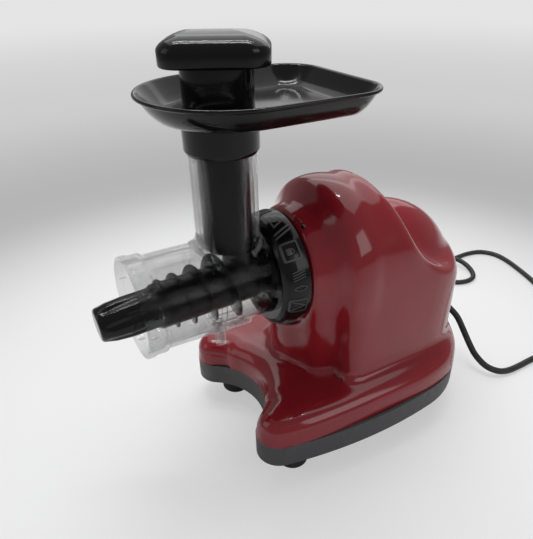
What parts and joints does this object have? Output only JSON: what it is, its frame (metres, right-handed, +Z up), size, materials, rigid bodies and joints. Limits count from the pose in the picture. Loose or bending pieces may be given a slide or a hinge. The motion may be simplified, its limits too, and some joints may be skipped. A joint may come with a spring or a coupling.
{
  "type": "cold press juicer",
  "caption": "Horizontal cold press juicer: auger in a clear drum, feed chute with tray and pusher, and a geared motor in a moulded housing with a mains cord.",
  "frame": {"origin": "centre of the bounding box, at the underside of the feet, measured without the loose cord and plug", "axes": "+Z up; the drum points to -Y and the mains cord leaves at +Y; +X is to the right when the drum is seen from behind"},
  "size_m": [0.2907, 0.5724, 0.3316],
  "materials": {
    "red_gloss": "glossy deep red moulding",
    "dark_satin": "dark grey satin moulding",
    "black_gloss": "black gloss moulding",
    "black_satin": "black satin moulding",
    "foot_rubber": "black rubber",
    "seal_rubber": "grey rubber",
    "cord_rubber": "black cord jacket",
    "clear": "clear moulded plastic",
    "steel": "plain steel",
    "laminations": "stacked sheet steel",
    "alloy": "cast alloy",
    "gear_plastic": "pale moulded gear plastic",
    "case_plastic": "grey moulding",
    "copper": "varnished copper wire",
    "board": "green circuit board",
    "film": "moulded capacitor case",
    "pin_metal": "plated brass"
  },
  "bodies": {
    "base": {"housing_shell": "red_gloss", "base_tray": "dark_satin", "foot_front_left": "foot_rubber", "foot_front_right": "foot_rubber", "foot_rear_left": "foot_rubber", "foot_rear_right": "foot_rubber", "base_screws": "steel", "drum_socket": "black_satin", "shaft_seal": "seal_rubber", "gearbox_case": "case_plastic", "gearbox_cover": "case_plastic", "gearbox_bracket": "dark_satin", "gearbox_screws": "steel", "output_bearings": "steel", "idler_bearings": "steel", "motor_front_frame": "alloy", "motor_rear_frame": "alloy", "motor_bearings": "steel", "stator_core": "laminations", "stator_windings": "copper", "motor_cradle": "dark_satin", "circuit_board": "board", "capacitor": "film", "switch_bezel": "black_satin", "cord_gland": "black_satin", "cord": "cord_rubber", "cord_coil": "cord_rubber", "coil_tie": "black_satin", "plug_lead": "cord_rubber", "plug_body": "black_satin", "plug_pins": "pin_metal"},
    "drum_set": {"drum": "clear", "juice_spout": "clear", "drum_gasket": "seal_rubber"},
    "ring": {"locking_ring": "black_gloss"},
    "auger_set": {"auger": "black_gloss", "auger_hub": "steel", "auger_seal": "seal_rubber"},
    "tray_set": {"feed_tray": "black_gloss", "tray_collar": "black_gloss"},
    "pusher_set": {"pusher_shaft": "black_gloss", "pusher_sleeve": "black_gloss", "pusher_cap": "black_gloss"},
    "output": {"output_gear": "gear_plastic", "drive_shaft": "steel"},
    "idler": {"idler_gear": "gear_plastic", "idler_pinion": "steel", "idler_shaft": "steel"},
    "rotor": {"rotor_core": "laminations", "motor_shaft": "steel", "motor_pinion": "steel", "cooling_fan": "gear_plastic"},
    "rocker": {"switch_rocker": "black_gloss"}
  },
  "joints": [
    {"name": "drum_slide", "type": "slide", "parent": "base", "child": "drum_set", "axis": [0, -1, 0], "range_m": [0, 0.06]},
    {"name": "ring_turn", "type": "hinge", "parent": "drum_set", "child": "ring", "pos_m": [0, -0.04241, 0.1593], "axis": [0, -1, 0], "range_deg": [0, 40]},
    {"name": "auger_spin", "type": "hinge", "parent": "drum_set", "child": "auger_set", "pos_m": [0, -0.01791, 0.1593], "axis": [0, 0.9993, 0.0366], "continuous": true},
    {"name": "tray_lift", "type": "slide", "parent": "drum_set", "child": "tray_set", "axis": [0, 0, 1], "range_m": [0, 0.04]},
    {"name": "pusher_slide", "type": "slide", "parent": "tray_set", "child": "pusher_set", "axis": [0, 0, 1], "range_m": [0, 0.11]},
    {"name": "output_spin", "type": "hinge", "parent": "base", "child": "output", "pos_m": [0, 0.00759, 0.1593], "axis": [0, 1, 0], "continuous": true},
    {"name": "idler_spin", "type": "hinge", "parent": "base", "child": "idler", "pos_m": [0, 0.00759, 0.1143], "axis": [0, 1, 0], "continuous": true},
    {"name": "rotor_spin", "type": "hinge", "parent": "base", "child": "rotor", "pos_m": [0, 0.00759, 0.0793], "axis": [0, 1, 0], "continuous": true},
    {"name": "switch_rock", "type": "hinge", "parent": "base", "child": "rocker", "pos_m": [0, 0.14822, 0.092], "axis": [1, 0, 0], "range_deg": [0, 14]}
  ],
  "couplings": [
    {"joint": "idler_spin", "follows": "rotor_spin", "ratio": -0.16667},
    {"joint": "output_spin", "follows": "rotor_spin", "ratio": 0.033333},
    {"joint": "auger_spin", "follows": "rotor_spin", "ratio": 0.033333}
  ]
}
